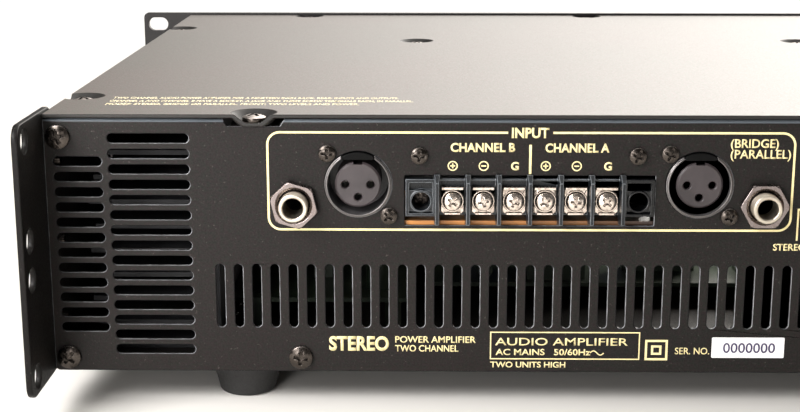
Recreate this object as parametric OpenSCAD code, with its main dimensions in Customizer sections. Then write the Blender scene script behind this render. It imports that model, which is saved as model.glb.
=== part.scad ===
// Stereo power amplifier in a two-unit 19 inch rack case, convection cooled.
// X runs to the right seen from the front, Y from front to back, Z up. All sizes are in millimetres.
// The origin is the centre of the four rack slots, on the rear face of the front panel.

/* [Front panel] */
// Width over the rack ears
panel_w = 480; // [478:1:483]
// Height of the front panel
panel_h = 88; // [87.5:0.1:88.5]
// Thickness of the front panel
panel_t = 4; // [3:0.5:5]
// Distance between the rack slots, across
slot_span_x = 465; // [464:0.5:466]
// Distance between the rack slots, upright
slot_span_z = 76.2; // [76:0.1:76.4]
// Length of a rack slot
slot_l = 10.4; // [9:0.1:11]
// Height of a rack slot
slot_h = 7; // [6.5:0.1:7.2]
// Distance of the level knobs from the middle, inner and outer
knob_x = [70, 150]; // [60:1:160]
// Radius of a level knob
knob_r = 17; // [12:0.5:18]
// Distance of the power switch from the middle, to the left
power_x = 178; // [160:1:190]

/* [Case] */
// Width of the case
case_w = 430; // [428:1:432]
// Depth of the case behind the front panel
case_d = 312; // [310:1:330]
// Height of the case with its cover
case_h = 87; // [86.5:0.1:87.5]
// Thickness of the sheet steel
sheet = 1.2; // [1:0.1:1.4]
// Depth of the dimples that take the cover's screws
dimple_depth = 2.8; // [2.6:0.1:3]
// Height of a rubber foot
foot_h = 12; // [8:1:14]
// Distance of the feet from the middle
foot_x = 152.7; // [120:0.1:160]

/* [Rear panel vents] */
// Pitch of the flat slots in front of the heat sinks
flat_pitch = 5.1; // [4.8:0.1:5.4]
// Number of long flat slots in a column
long_count = 15; // [8:1:15]
// Number of short flat slots in a column
short_count = 12; // [6:1:12]
// Pitch of the upright slots
upright_pitch = 6; // [5.8:0.1:6]
// Number of upright slots
upright_count = 54; // [30:2:54]

/* [Rear brackets] */
// How far the rear brackets reach behind the case
bracket_reach = 30; // [20:1:40]
// Thickness of the rear brackets
bracket_t = 2; // [1.6:0.1:2.2]
// Radius of a bracket hole
bracket_hole_r = 4; // [3:0.1:4]

/* [Rear connectors] */
// Distance from the middle to each three-pin socket, to the left seen from behind
xlr_u = [113.4, 3]; // [0:0.1:120]
// Height of the three-pin sockets above the middle
xlr_v = 20; // [19:0.1:21]
// Distance from the middle to each phone jack; negative is to the left seen from behind
jack_u = [-134.2, 17.9]; // [-136:0.1:20]
// Height of the phone jacks above the middle
jack_v = 13.5; // [13:0.1:14]
// Bore radius of a phone jack
jack_bore_r = 3.3; // [3.2:0.05:3.4]
// Pitch of the input terminals
terminal_pitch = 10; // [9.8:0.1:10.2]
// Spacing of the speaker binding posts
post_pitch = 19.05; // [19.05:0.05:19.1]
// Bore radius of a binding post, for a 4 mm plug
post_bore_r = 2.05; // [2.05:0.01:2.1]

/* [Hidden] */
$fn = 64;

eps = 0.01;
case_bottom = -panel_h / 2;
cover_top = case_bottom + case_h;
cover_under = cover_top - sheet;
tab_top = cover_under - dimple_depth; // the cover's dimples rest on tabs at this height
wall_top = cover_under - 0.2;
bend_r = 1.6; // outer radius of the rear panel's top bend
rear_in = case_d - sheet; // inner face of the rear panel
m4_r = 2; // screw shaft radii, and the radius of their clearance holes
m4_hole = 2.15;
m3_r = 1.5;
m3_hole = 1.65;
tab_w = 16;

// Cover screws as [x, y]: rear edge, sides, middle and front edge
rear_tab_x = 147;
side_tab_y = [275.8, 63.6];
side_tab_x = case_w / 2 - 5.2;
brace_y = 113.5;
brace_screw_x = [94.7, -77.4];
front_tab_x = [151.6, 5.7, -140];
edge_inset = 3.4;
front_inset = 4.6;
cover_overhang = 1;
cover_screws = concat(
    [for (s = [-1, 1]) [s * rear_tab_x, case_d - edge_inset]],
    [for (s = [-1, 1], y = side_tab_y) [s * side_tab_x, y]],
    [for (x = brace_screw_x) [x, brace_y]],
    [for (x = front_tab_x) [x, front_inset]]
);
// Screws through the rear panel, as seen from behind
rear_corners = [[210.2, 35.5], [210.2, -39.1]];
front_corners = [[205, 32], [205, -32]];
flange_screw = [132.8, -38.9];
rear_screws = [for (s = [-1, 1], p = concat(rear_corners, [flange_screw])) [s * p[0], p[1]]];
front_screws = [for (s = [-1, 1], p = front_corners) [s * p[0], p[1]]];
corner_h = 13;
vent_top = 35; // height of the uppermost flat slot
long_vent_u = 181.2;
short_vent_u = 204.3;
upright_v = -17.8;
foot_y = [35, case_d - 17];
bracket_screw_z = [-27, 0, 27];
bracket_screw_y = case_d - 6;
bracket_hole_z = [38.1, 6.35, -6.35, -38.1];
bracket_hole_y = case_d + 22;

// Input section, as seen from behind
xlr_hole_r = 10.95;
xlr_shell_r = 10.7;
xlr_rim_r = 9.95; // inner radius of the shell
xlr_insert_r = 7.5;
xlr_screw_offset = [9.95, 10.3];
xlr_pin_r = 4.1;
xlr_hole = 1.25; // radius of a pin hole
xlr_pins = [[-xlr_pin_r, 0], [xlr_pin_r, 0], [0, -xlr_pin_r]];
xlr_back = 14;
xlr_half = 12.3; // half the height of the flange, which stands on the input board
jack_bush_r = 4.75;
jack_root = 4.35; // radius at the bottom of the bush's thread
jack_end = 7.2; // how far the bush reaches out
jack_inner = -4.9; // where it ends inside
jack_nut_top = 3.15;
terminal_mid_u = -57.8;
terminal_mid_v = 14.6;
terminal_u = [for (i = [0:5]) terminal_mid_u + (i - 2.5) * terminal_pitch];
block_half = 3 * terminal_pitch + 10.2; // half the length of the terminal block
block_low = -4.9; // its lower and upper faces, from its middle
block_high = 7.4;
lug_screw = 3 * terminal_pitch + 5.2;
lug_screw_w = -7; // how deep its head sits
lug_bore_r = 3.05;
terminal_gap = [2 * block_half + 0.6, -8.2, 8.4]; // length, lower and upper edge of the panel's opening
board_top = 7.6; // height of the input board's upper face above the middle
bracket_screw_u = [-93.6, -23.3];
bracket_screw_v = 29.6;
switch_u = 46;
switch_v = 18;
switch_step = 3;
switch_screw_u = 9.5;
post_mid_u = 84;
post_mid_v = 20;
posts = [for (su = [-1, 1], sv = [-1, 1])
    [post_mid_u + su * post_pitch / 2, post_mid_v + sv * post_pitch / 2]];
post_base_h = 4;
post_cap_l = 16;
post_stud_top = post_base_h + post_cap_l - 0.7;
post_bore_l = 12;
post_cap_r = 7.2;
inlet_u = 141;
inlet_v = 20;
inlet_screw_span = 40;
inlet_flange = 2.5; // outer face of the inlet's flange

// Front section
led_dx = 34;
led_z = [14, 0, -14];
leds = concat([for (x = knob_x, z = led_z) [x - led_dx, z]], [[-power_x + 26, 0]]);
led_r = 2.5;
shaft_r = 3;
pot_bush_r = 3.5;

rocker_tilt = 9; // the rocker's upper end is out at rest, which is off

// Inside
transformer_y = 88;
transformer_bottom = case_bottom + sheet + 3;
supply_y = 196;
supply_top = -34;
sink_x = 162;
sink_bottom = case_bottom + sheet + 0.05;
sink_h = 78.5;
device_y = [66, 108, 150, 236];

// Frames: u is to the right, v up and w out of the panel's outer face
module rear_frame() translate([0, case_d, 0]) rotate([90, 0, 180]) children();
module front_frame() translate([0, -panel_t, 0]) rotate([90, 0, 0]) children();

// ---- shared shapes ----

module slot2d(l, w) {
    square([l - w, w], center = true);
    for (s = [-1, 1]) translate([s * (l - w) / 2, 0]) circle(d = w);
}

module rounded2d(w, h, r) {
    square([w - 2 * r, h], center = true);
    square([w, h - 2 * r], center = true);
    for (sx = [-1, 1], sy = [-1, 1]) translate([sx * (w / 2 - r), sy * (h / 2 - r)]) circle(r);
}

// A bar between two corners, given in any order
module box(a, b) translate([min(a[0], b[0]), min(a[1], b[1]), min(a[2], b[2])])
    cube([abs(a[0] - b[0]), abs(a[1] - b[1]), abs(a[2] - b[2])]);

// Pan head standing on z = 0 with a cross recess, and a shaft below it
module screw(head_r, head_h, shaft_r, shaft_l) {
    crown_r = head_r * 2.2;
    difference() {
        intersection() {
            cylinder(h = head_h, r = head_r);
            translate([0, 0, head_h - crown_r]) sphere(crown_r, $fn = 96);
        }
        translate([0, 0, head_h]) {
            for (a = [0, 90]) rotate(a) cube([head_r * 1.2, head_r * 0.3, head_h * 1.2], center = true);
            rotate(45) cube([head_r * 0.5, head_r * 0.5, head_h * 1.3], center = true);
        }
    }
    translate([0, 0, -shaft_l]) cylinder(h = shaft_l + eps, r = shaft_r);
}
module m4_screw(l = 8) screw(3.9, 2.3, m4_r, l);
module m3_screw(l = 7) screw(2.75, 2, m3_r, l);

// A round cable that starts at the origin along +Z. Each step is [length, roll], and a quarter turn
// follows each step.
// The bends are a little thicker than the straights, which run into them.
module cable(r, bend, steps, i = 0) {
    lap = 0.2;
    last = i == len(steps) - 1;
    translate([0, 0, i == 0 ? 0 : -lap])
        cylinder(h = steps[i][0] + (i == 0 ? 0 : lap) + (last ? 0 : lap), r = r, $fn = 24);
    if (!last) translate([0, 0, steps[i][0]]) rotate(steps[i][1]) {
        translate([bend, 0, 0]) rotate([90, 0, 180]) rotate_extrude(angle = 90, $fn = 48)
            translate([bend, 0]) circle(r * 1.04, $fn = 24);
        translate([bend, 0, bend]) rotate([0, 90, 0]) cable(r, bend, steps, i + 1);
    }
}

// ---- case ----

module side_wall() {
    difference() {
        box([case_w / 2, 0, case_bottom], [case_w / 2 - sheet, rear_in, wall_top]);
        for (y = side_tab_y)
            box([case_w, y - tab_w / 2 - 2, tab_top - sheet], [0, y + tab_w / 2 + 2, cover_top]);
        // air slots beside the heat sinks
        for (y = [60:12:228], z = [-26, 6]) translate([case_w / 2 - sheet / 2, y, z]) rotate([0, 90, 0])
            linear_extrude(sheet * 2, center = true) slot2d(22, 4);
        for (z = bracket_screw_z) translate([case_w / 2 - sheet / 2, bracket_screw_y, z]) rotate([0, 90, 0])
            cylinder(h = sheet * 2, r = m4_hole, center = true);
    }
    // tabs that carry the cover's side screws
    for (y = side_tab_y) difference() {
        box([case_w / 2, y - tab_w / 2, tab_top - sheet], [case_w / 2 - 14, y + tab_w / 2, tab_top]);
        translate([side_tab_x, y, 0]) cylinder(h = 100, r = m4_hole);
    }
    // tabs that carry the front and rear panels
    for (p = front_corners) corner_tab(p[0], sheet, p[1]);
    for (p = rear_corners) corner_tab(p[0], rear_in - sheet, p[1]);
}

module corner_tab(x, y, z) difference() {
    box([case_w / 2 - sheet + 0.1, y, max(z - corner_h / 2, case_bottom)],
        [case_w / 2 - 16, y + sheet, min(z + corner_h / 2, wall_top - sheet - 0.2)]);
    translate([x, y, z]) rotate([90, 0, 0]) cylinder(h = 20, r = m4_hole, center = true);
}

module chassis_tray() color([0.13, 0.13, 0.14]) {
    for (m = [0, 1]) mirror([m, 0, 0]) side_wall();
    difference() {
        box([-case_w / 2 + sheet / 2, 0, case_bottom],
            [case_w / 2 - sheet / 2, rear_in, case_bottom + sheet]);
        for (s = [-1, 1], y = [60:12:276], x = [170, 196]) translate([s * x, y, case_bottom]) rotate(90)
            linear_extrude(sheet * 3, center = true) rotate(90) slot2d(18, 4);
        for (s = [-1, 1], y = foot_y) translate([s * foot_x, y, case_bottom])
            cylinder(h = 10, r = m4_hole, center = true);
        translate([0, transformer_y, case_bottom]) cylinder(h = 10, r = 4.2, center = true);
    }
    difference() {
        box([-150, rear_in - sheet, case_bottom], [150, rear_in, case_bottom + 10]);
        rear_frame() for (p = rear_screws) translate([p[0], p[1], 0])
            cylinder(h = 20, r = m4_hole, center = true);
    }
}

module dimple_ring() rotate_extrude() polygon([
    [8.6, 0], [7.3, 0], [4.7, -dimple_depth], [m4_hole, -dimple_depth],
    [m4_hole, -dimple_depth - sheet], [5.3, -dimple_depth - sheet], [7.9, -sheet], [8.6, -sheet]
]);

module top_cover() color([0.30, 0.28, 0.27]) intersection() {
    union() {
        difference() {
            box([-case_w / 2, 0, cover_under], [case_w / 2, case_d + cover_overhang, cover_top]);
            for (p = cover_screws) translate([p[0], p[1], 0]) cylinder(h = 100, r = 8);
        }
        for (p = cover_screws) translate([p[0], p[1], cover_top]) dimple_ring();
    }
    box([-case_w / 2, 0.1, 0], [case_w / 2, case_d + cover_overhang, cover_top]);
}

module rear_outline() {
    h = wall_top - case_bottom;
    translate([0, case_bottom + h / 2]) {
        rounded2d(case_w, h, 1.5);
        translate([0, h / 4]) square([case_w, h / 2], center = true);
    }
}

module xlr_holes2d() {
    for (u = xlr_u) translate([-u, xlr_v]) {
        circle(xlr_hole_r);
        for (s = [-1, 1]) translate([s * xlr_screw_offset[0], -s * xlr_screw_offset[1]]) circle(m3_hole);
    }
}

module vents2d() {
    for (s = [-1, 1]) {
        for (i = [0:long_count - 1]) translate([s * long_vent_u, vent_top - i * flat_pitch])
            slot2d(26.4, 3.1);
        for (i = [0:short_count - 1]) translate([s * short_vent_u, vent_top - (i + 1.5) * flat_pitch])
            slot2d(15.8, 3.1);
    }
    for (i = [0:upright_count - 1]) translate([(i - (upright_count - 1) / 2) * upright_pitch, upright_v])
        rotate(90) slot2d(21.6, 2.9);
}

module connector_holes2d() {
    xlr_holes2d();
    for (u = jack_u) translate([u, jack_v]) circle(jack_bush_r + 0.1);
    for (u = bracket_screw_u) translate([u, bracket_screw_v]) circle(m3_hole);
    translate([terminal_mid_u - terminal_gap[0] / 2, terminal_mid_v + terminal_gap[1]])
        square([terminal_gap[0], terminal_gap[2] - terminal_gap[1]]);
    translate([switch_u, switch_v]) {
        square([13, 6], center = true);
        for (s = [-1, 1]) translate([s * switch_screw_u, 0]) circle(m3_hole);
    }
    for (p = posts) translate(p) circle(5.6);
    translate([inlet_u, inlet_v]) {
        square([28.4, 21], center = true);
        for (s = [-1, 1]) translate([s * inlet_screw_span / 2, 0]) circle(m3_hole);
    }
}

// What the rounded top bend leaves out of a sharp corner
module bend_waste() {
    l = case_w + 10;
    difference() {
        box([-l / 2, wall_top - bend_r, -bend_r], [l / 2, wall_top + 1, 1]);
        translate([-l, wall_top - bend_r, -bend_r]) rotate([0, 90, 0]) cylinder(h = 2 * l, r = bend_r);
    }
}

module rear_panel() color([0.11, 0.11, 0.12]) rear_frame() difference() {
    union() {
        translate([0, 0, -sheet]) linear_extrude(sheet) difference() {
            rear_outline();
            vents2d();
            connector_holes2d();
            for (p = rear_screws) translate(p) circle(m4_hole);
            for (s = [-1, 1]) translate([s * rear_tab_x, tab_top])
                polygon([[-8.5, 0], [8.5, 0], [11, 4], [-11, 4]]);
        }
        // upper flange, cut away at the two dimples
        for (r = [[-212, -158.5], [-135.5, 135.5], [158.5, 212]])
            box([r[0], wall_top - sheet, -10], [r[1], wall_top, -sheet + eps]);
        for (s = [-1, 1]) translate([s * rear_tab_x, 0, 0]) difference() {
            box([-tab_w / 2, tab_top - sheet, -13], [tab_w / 2, tab_top, -sheet + eps]);
            translate([0, 0, -edge_inset]) rotate([90, 0, 0]) cylinder(h = 200, r = m4_hole, center = true);
        }
    }
    bend_waste();
}

module front_holes2d(extra = 0) {
    for (x = knob_x) translate([x, 0]) circle(pot_bush_r + 0.2 + extra);
    translate([-power_x, 0]) square([13.4 + extra, 19.6 + extra], center = true);
    for (p = leds) translate(p) circle(led_r + 0.1 + extra);
}

module front_panel() color([0.10, 0.10, 0.11]) front_frame() difference() {
    translate([0, 0, -panel_t]) linear_extrude(panel_t) difference() {
        rounded2d(panel_w, panel_h, 2.5);
        for (sx = [-1, 1], sz = [-1, 1]) translate([sx * slot_span_x / 2, sz * slot_span_z / 2])
            slot2d(slot_l, slot_h);
        for (p = front_screws) translate(p) circle(m4_hole);
        front_holes2d();
    }
    for (p = front_screws) translate([p[0], p[1], -2.4]) cylinder(h = 2.4 + eps, r1 = m4_hole, r2 = 4.4);
}

module front_subpanel() color([0.62, 0.63, 0.65]) {
    front_frame() translate([0, 0, -panel_t - sheet]) linear_extrude(sheet - 0.1) difference() {
        square([398, 78], center = true);
        for (x = front_tab_x) translate([x, tab_top]) square([22, 8], center = true);
        front_holes2d(0.6);
    }
    for (x = front_tab_x) difference() {
        box([x - tab_w / 2, 0.1, tab_top - sheet], [x + tab_w / 2, 13, tab_top]);
        translate([x, front_inset, 0]) cylinder(h = 100, r = m4_hole);
    }
    for (x = front_tab_x) box([x - tab_w / 2, 0.1, tab_top - 8], [x + tab_w / 2, sheet, tab_top]);
}

// Channel across the case that carries the cover's middle screws
module cross_brace() color([0.62, 0.63, 0.65]) difference() {
    union() {
        box([-sink_x, brace_y - 9, tab_top - sheet], [sink_x, brace_y + 9, tab_top]);
        for (s = [-1, 1])
            box([-sink_x, brace_y + s * 9, tab_top - 7], [sink_x, brace_y + s * (9 - sheet), tab_top]);
        for (s = [-1, 1])
            box([s * sink_x, brace_y - 9, tab_top - 16], [s * (sink_x - sheet), brace_y + 9, tab_top]);
    }
    for (x = brace_screw_x) translate([x, brace_y, 0]) cylinder(h = 100, r = m4_hole);
}

module rear_bracket(s) color([0.09, 0.10, 0.10]) {
    y0 = case_d - 12;
    l = bracket_reach + 12;
    translate([s > 0 ? case_w / 2 : -case_w / 2 - bracket_t, y0 + l / 2, 0]) rotate([90, 0, 90])
        linear_extrude(bracket_t) difference() {
        rounded2d(l, panel_h, 5);
        for (z = bracket_hole_z) translate([bracket_hole_y - y0 - l / 2, z]) circle(bracket_hole_r);
        for (z = bracket_screw_z) translate([bracket_screw_y - y0 - l / 2, z]) circle(m4_hole);
    }
}
module rear_bracket_left() rear_bracket(-1);
module rear_bracket_right() rear_bracket(1);

module case_screws() color([0.20, 0.18, 0.17]) {
    for (i = [0:len(cover_screws) - 1])
        translate([cover_screws[i][0], cover_screws[i][1], tab_top + sheet]) rotate(i * 37) m4_screw(6);
    rear_frame() for (i = [0:len(rear_screws) - 1]) translate([rear_screws[i][0], rear_screws[i][1], 0])
        rotate(20 + i * 31) m4_screw(7);
    for (s = [-1, 1], z = bracket_screw_z) translate([s * (case_w / 2 + bracket_t), bracket_screw_y, z])
        rotate([0, s * 90, 0]) rotate(z) m4_screw(6);
    for (s = [-1, 1], y = foot_y) translate([s * foot_x, y, case_bottom - foot_h + 8])
        rotate([180, 0, 0]) rotate(y) m4_screw(14);
    front_frame() for (p = front_screws) translate([p[0], p[1], 0]) countersunk_screw();
}

// Oval-head countersunk screw, its rim at z = 0
module countersunk_screw() difference() {
    union() {
        translate([0, 0, -2.3]) cylinder(h = 2.2, r1 = m4_r, r2 = 4.1);
        translate([0, 0, -9]) cylinder(h = 7, r = m4_r);
        intersection() {
            translate([0, 0, -0.1]) cylinder(h = 0.9, r = 4.1);
            translate([0, 0, 0.8 - 10]) sphere(10);
        }
    }
    for (a = [15, 105]) rotate(a) translate([0, 0, 0.8]) cube([4.6, 1.1, 2.6], center = true);
}

module rubber_feet() color([0.07, 0.07, 0.07]) for (s = [-1, 1], y = foot_y)
    translate([s * foot_x, y, case_bottom - foot_h]) rotate_extrude() polygon(concat(
        [[m4_hole, foot_h], [m4_hole, 8], [4.6, 8], [4.6, 0]],
        [for (a = [-90:15:0]) [8.2 + 1.6 * cos(a), 1.6 + 1.6 * sin(a)]],
        [[12.4, foot_h]]
    ));

// ---- input section ----

// Shell with a thin rim, a flange behind the panel and a pocket for the latch
module xlr_shells() color([0.16, 0.16, 0.17]) rear_frame() for (u = xlr_u) translate([-u, xlr_v, 0])
    difference() {
    union() {
        translate([0, 0, -xlr_back]) cylinder(h = xlr_back + 0.5, r = xlr_shell_r);
        translate([0, 0, 0.5 - eps]) cylinder(h = 0.4, r1 = xlr_shell_r, r2 = xlr_shell_r - 0.3);
        translate([0, 0, -sheet - 3 - 0.05]) linear_extrude(3) rounded2d(27, 2 * xlr_half, 3);
        box([-12, xlr_half, -xlr_back - 8], [12, -xlr_half, -xlr_back + eps]);
    }
    translate([0, 0, -xlr_back + 2]) cylinder(h = 30, r = xlr_rim_r);
    for (s = [-1, 1]) translate([s * xlr_screw_offset[0], -s * xlr_screw_offset[1], -20])
        cylinder(h = 30, r = m3_hole);
    box([-5.4, 7.7, -xlr_back + 2], [5.4, 12, 2]);
    for (p = xlr_pins) translate([p[0], p[1], -40]) cylinder(h = 60, r = xlr_hole);
}

module xlr_inserts() color([0.22, 0.20, 0.20]) rear_frame() for (u = xlr_u) translate([-u, xlr_v, 0])
    difference() {
    union() {
        translate([0, 0, -xlr_back + 2]) cylinder(h = xlr_back - 2, r = xlr_insert_r);
        translate([0, 0, -eps]) cylinder(h = 0.6, r1 = xlr_insert_r, r2 = xlr_insert_r - 0.6);
    }
    for (p = xlr_pins) translate([p[0], p[1], 0]) {
        translate([0, 0, -40]) cylinder(h = 60, r = xlr_hole);
        translate([0, 0, 0.25]) cylinder(h = 0.5, r1 = xlr_hole, r2 = xlr_hole + 0.5);
    }
    // keyway
    box([-1.5, xlr_insert_r - 0.9, -xlr_back], [1.5, 9, 5]);
}

module xlr_contacts() color([0.75, 0.75, 0.72]) rear_frame() for (u = xlr_u, p = xlr_pins)
    translate([-u + p[0], xlr_v + p[1], -xlr_back - 6]) difference() {
        cylinder(h = 12, r = xlr_hole - 0.05);
        translate([0, 0, 4]) cylinder(h = 20, r = 0.9);
    }

module xlr_latch(u) color([0.05, 0.05, 0.05]) rear_frame() translate([-u, xlr_v, 0]) intersection() {
    box([-5.1, 8.1, -xlr_back + 4.6], [5.1, 12, 0.6]);
    translate([0, 0, -30]) cylinder(h = 60, r = xlr_shell_r - 0.05);
}
module xlr_latch_b() xlr_latch(xlr_u[0]);
module xlr_latch_a() xlr_latch(xlr_u[1]);

module connector_screws() color([0.20, 0.19, 0.18]) rear_frame() {
    for (u = xlr_u, s = [-1, 1]) translate([-u + s * xlr_screw_offset[0], xlr_v - s * xlr_screw_offset[1], 0])
        rotate(u + s * 25) m3_screw(8);
    for (u = bracket_screw_u) translate([u, bracket_screw_v, 0]) rotate(u) m3_screw(6);
    for (s = [-1, 1]) {
        translate([switch_u + s * switch_screw_u, switch_v, 0]) rotate(s * 30) m3_screw(4.5);
        translate([inlet_u + s * inlet_screw_span / 2, inlet_v, inlet_flange]) rotate(s * 12) m3_screw(8);
        translate([terminal_mid_u + s * lug_screw, terminal_mid_v, lug_screw_w]) rotate(s * 50) m3_screw(7.5);
    }
}

module jack_bodies() color([0.08, 0.08, 0.09]) rear_frame() for (u = jack_u) translate([u, jack_v, 0])
    difference() {
    box([-7.1, board_top + 0.1 - jack_v, -28], [7.1, 8, -sheet - 0.05]);
    translate([0, 0, -26]) cylinder(h = 40, r = 3.7);
    translate([0, 0, -5]) cylinder(h = 40, r = jack_bush_r + 0.05);
}

// Bush with a thread of V grooves over the stretch that the nut runs on
module jack_bushes() color([0.80, 0.77, 0.71]) rear_frame() for (u = jack_u) translate([u, jack_v, 0]) {
    pitch = 0.8;
    turns = 6;
    rotate_extrude() polygon(concat(
        [[jack_bore_r, jack_inner], [jack_bush_r, jack_inner]],
        [for (i = [0:turns], side = [0, 1])
            [side == 0 ? jack_bush_r : jack_root, 1 + (i + side / 2) * pitch]],
        [[jack_bush_r, 6.6], [jack_bush_r, jack_end - 0.35], [jack_bush_r - 0.35, jack_end],
         [jack_bore_r + 0.3, jack_end], [jack_bore_r, jack_end - 0.3]]
    ));
}

module jack_nuts() color([0.78, 0.76, 0.72]) rear_frame() for (i = [0, 1]) translate([jack_u[i], jack_v, 0]) {
    difference() {
        intersection() {
            translate([0, 0, 0.55]) rotate(i == 0 ? 43.4 : 0) cylinder(h = 2.6, r = 14 / sqrt(3), $fn = 6);
            translate([0, 0, 0.5]) cylinder(h = 2.8, r1 = 10.2, r2 = 7.4);
        }
        translate([0, 0, -1]) cylinder(h = 10, r = jack_bush_r + 0.05);
        translate([0, 0, jack_nut_top - 1.1]) cylinder(h = 1.2, r1 = jack_bush_r, r2 = 6.1);
    }
    difference() {
        translate([0, 0, 0.02]) cylinder(h = 0.5, r = 6.9);
        translate([0, 0, -1]) cylinder(h = 3, r = jack_bush_r + 0.05);
    }
}

// Wall between two terminals: its upper front edge slopes, and it gets thinner outwards
module barrier() {
    half_t = 0.95;
    half_edge = 0.6;
    intersection() {
        translate([-half_t, 0, 0]) rotate([90, 0, 90]) linear_extrude(2 * half_t)
            polygon([[-8, -1.4], [-7.2, 4], [6.6, 4], [8.9, 1.4], [8.9, 0.25], [8.1, 0.25], [8.1, -1.4]]);
        translate([0, -10, 0]) rotate([-90, 0, 0]) linear_extrude(20) polygon([
            [-half_t, 2], [half_t, 2], [half_t, -0.6], [half_edge, -4], [-half_edge, -4], [-half_t, -0.6]
        ]);
    }
    box([-half_t, -6.7, -9], [half_t, 8.1, -1.4 + eps]);
}

// Frame round a band with a screw boss, at each end of the terminal block
module lug() {
    inner = 3 * terminal_pitch + 0.5;
    difference() {
        box([inner, block_low, -8], [block_half, block_high, 1.2]);
        box([inner + 0.9, block_low + 0.9, -1.4], [block_half - 1.1, block_high - 1.2, 2]);
    }
    box([inner, -3.4, -2], [block_half - eps, 3.5, 0.4]);
    translate([lug_screw, 0, -2]) cylinder(h = 3.1, r = 3.65);
}

module terminal_block() color([0.17, 0.20, 0.23]) rear_frame()
    translate([terminal_mid_u, terminal_mid_v, 0]) difference() {
        union() {
            box([-block_half, block_low, -12], [block_half, block_high, -1.4]);
            for (i = [-3:3]) translate([i * terminal_pitch, 0, 0]) barrier();
            // upper rim between the barriers
            box([-3 * terminal_pitch, block_high - 0.7, -4], [3 * terminal_pitch, block_high, 0.3]);
            for (m = [0, 1]) mirror([m, 0, 0]) lug();
        }
        for (s = [-1, 1]) translate([s * lug_screw, 0, 0]) {
            translate([0, 0, -20]) cylinder(h = 40, r = m3_hole);
            translate([0, 0, lug_screw_w]) cylinder(h = 20, r = lug_bore_r);
        }
        for (u = terminal_u) translate([u - terminal_mid_u, 0, -11]) cylinder(h = 20, r = m3_hole);
    }

module terminal_contacts() color([0.78, 0.75, 0.68]) rear_frame() for (u = terminal_u)
    translate([u, terminal_mid_v, 0]) difference() {
        box([-3.6, -4, -1.38], [3.6, 4.7, -0.9]);
        translate([0, 0, -20]) cylinder(h = 40, r = m3_hole);
    }

module terminal_screw(i) color([0.82, 0.79, 0.73]) rear_frame()
    translate([terminal_u[i - 1], terminal_mid_v, 0.02]) rotate(i * 53) screw(2.95, 2.1, m3_r, 8.5);
module terminal_screw_1() terminal_screw(1);
module terminal_screw_2() terminal_screw(2);
module terminal_screw_3() terminal_screw(3);
module terminal_screw_4() terminal_screw(4);
module terminal_screw_5() terminal_screw(5);
module terminal_screw_6() terminal_screw(6);

// Square washer held on the screw: a raised ring round the head, and bent edges that keep a wire under it
module clamp_plate(i) color([0.80, 0.77, 0.70]) rear_frame()
    translate([terminal_u[i - 1], terminal_mid_v, 0]) difference() {
        union() {
            translate([0, 0, -0.88]) linear_extrude(0.88)
                polygon([[-3.7, -3.4], [-2.6, -4.5], [2.6, -4.5], [3.7, -3.4], [3.7, 4.7], [-3.7, 4.7]]);
            box([-3.5, 3.8, -0.88], [3.5, 4.7, 0.9]);
            box([-2.6, -4.5, -0.88], [2.6, -3.8, 0.6]);
            cylinder(h = 0.5, r = 3.65);
        }
        cylinder(h = 5, r = 3.2);
        translate([0, 0, -5]) cylinder(h = 10, r = m3_hole);
    }
module clamp_plate_1() clamp_plate(1);
module clamp_plate_2() clamp_plate(2);
module clamp_plate_3() clamp_plate(3);
module clamp_plate_4() clamp_plate(4);
module clamp_plate_5() clamp_plate(5);
module clamp_plate_6() clamp_plate(6);

module input_board() color([0.62, 0.36, 0.16]) rear_frame()
    box([-150, board_top - 1.6, -46], [30, board_top, -sheet - 0.3]);

// Folded bracket that stands on the input board behind the terminals; two screws hold it to the rear panel
module input_bracket() color([0.62, 0.63, 0.65]) rear_frame() difference() {
    union() {
        box([-97.5, 26, -sheet - 1.05], [-19.5, 33, -sheet - 0.05]);
        box([-97.5, 32, -14], [-19.5, 33, -sheet - 0.05]);
        box([-97.5, board_top, -14], [-19.5, 33, -13]);
    }
    for (u = bracket_screw_u) translate([u, bracket_screw_v, -8]) cylinder(h = 20, r = m3_hole);
    for (s = [-1, 1]) translate([terminal_mid_u + s * lug_screw, terminal_mid_v, -20])
        cylinder(h = 10, r = m3_hole);
}

module mode_switch_body() color([0.60, 0.61, 0.63]) rear_frame() translate([switch_u, switch_v, 0])
    difference() {
    union() {
        box([-12.5, -3.6, -9], [12.5, 3.6, -sheet - 0.05]);
        box([-12.5, -3.6, -sheet - 1.3], [12.5, 3.6, -sheet - 0.05]);
    }
    box([-6.5, -2.6, -7], [6.5, 2.6, 2]);
    for (s = [-1, 1]) translate([s * switch_screw_u, 0, -7]) cylinder(h = 20, r = m3_hole);
}

module mode_switch_slider() color([0.07, 0.07, 0.07]) rear_frame()
    translate([switch_u - switch_step, switch_v, 0]) {
    box([-3.2, -2.5, -6.9], [3.2, 2.5, -3]);
    difference() {
        box([-1.9, -2.3, -3 - eps], [1.9, 2.3, 2.4]);
        for (u = [-1, 0, 1]) translate([u * 1.1, 0, 2.4]) cube([0.4, 10, 0.6], center = true);
    }
}

// ---- outputs and mains ----

module post_bases() color([0.10, 0.10, 0.10]) rear_frame() for (p = posts) translate([p[0], p[1], 0])
    difference() {
    union() {
        translate([0, 0, 0.02]) cylinder(h = post_base_h, r = 8);
        translate([0, 0, -sheet - 3]) cylinder(h = sheet + 3 + 0.1, r = 5.5);
        translate([0, 0, -sheet - 3.05]) cylinder(h = 3, r = 8);
    }
    translate([0, 0, -30]) cylinder(h = 60, r = 3.1);
}

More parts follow.
